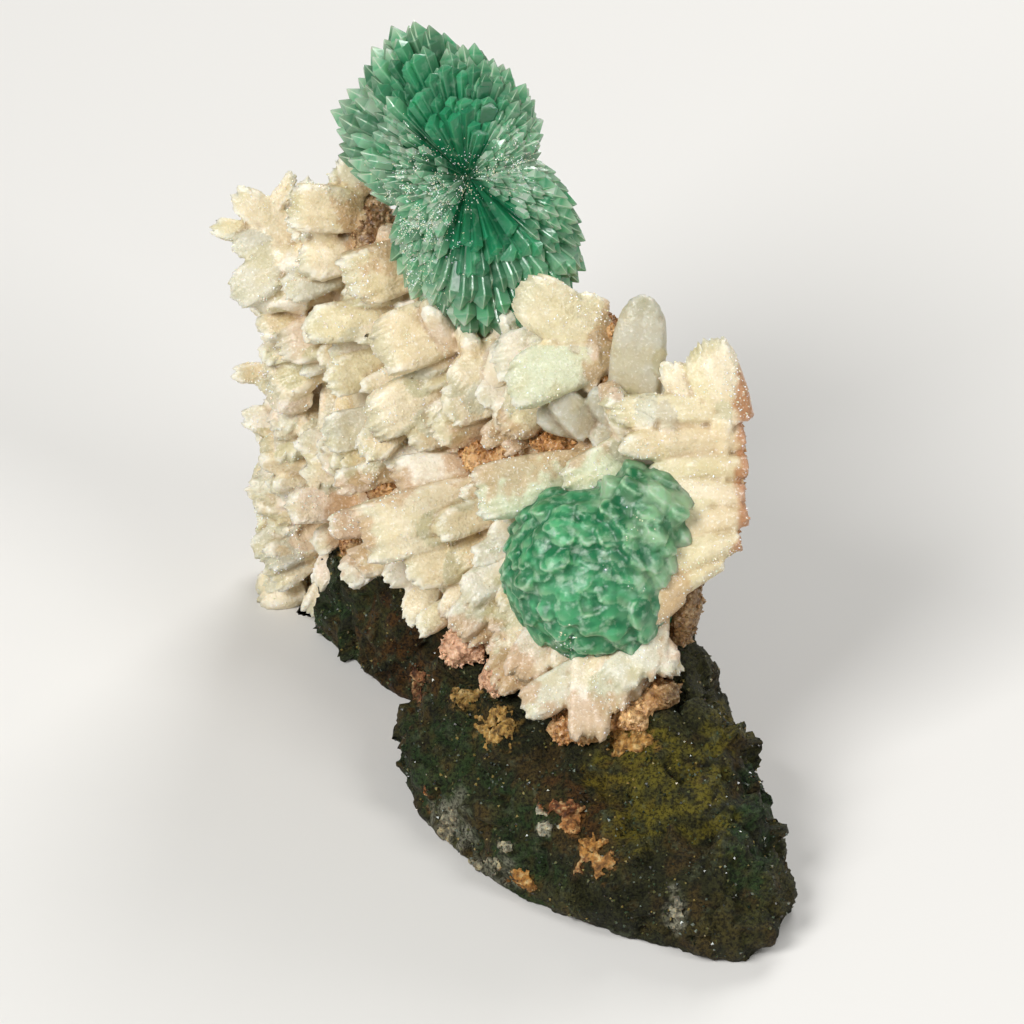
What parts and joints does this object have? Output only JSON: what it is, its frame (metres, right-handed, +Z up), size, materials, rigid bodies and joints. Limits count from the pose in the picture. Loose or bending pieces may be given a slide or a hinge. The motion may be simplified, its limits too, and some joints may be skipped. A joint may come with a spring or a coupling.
{
  "type": "mineral specimen",
  "caption": "Natural crystal cluster: two green apophyllite sprays on cream stilbite blades and brown druse over a dark basalt matrix, standing on its flat base.",
  "frame": {"origin": "middle of the bounding box in X and Y, on the surface that the basalt base stands on", "axes": "+Z up, -Y towards the display side with both sprays, +X to the right of a viewer who faces that side"},
  "size_m": [0.0962, 0.1238, 0.1143],
  "materials": {
    "basalt": "rough dark green-black rock with ochre crusts",
    "druse": "sugary brown-orange crystal crust",
    "stilbite": "satin cream translucent blades",
    "apophyllite": "clear green, glossy faces"
  },
  "bodies": {
    "root": {"basalt_matrix": "basalt", "druse_crust": "druse", "stilbite_crystals": "stilbite", "apophyllite_upper_spray": "apophyllite", "apophyllite_lower_spray": "apophyllite"}
  },
  "joints": []
}
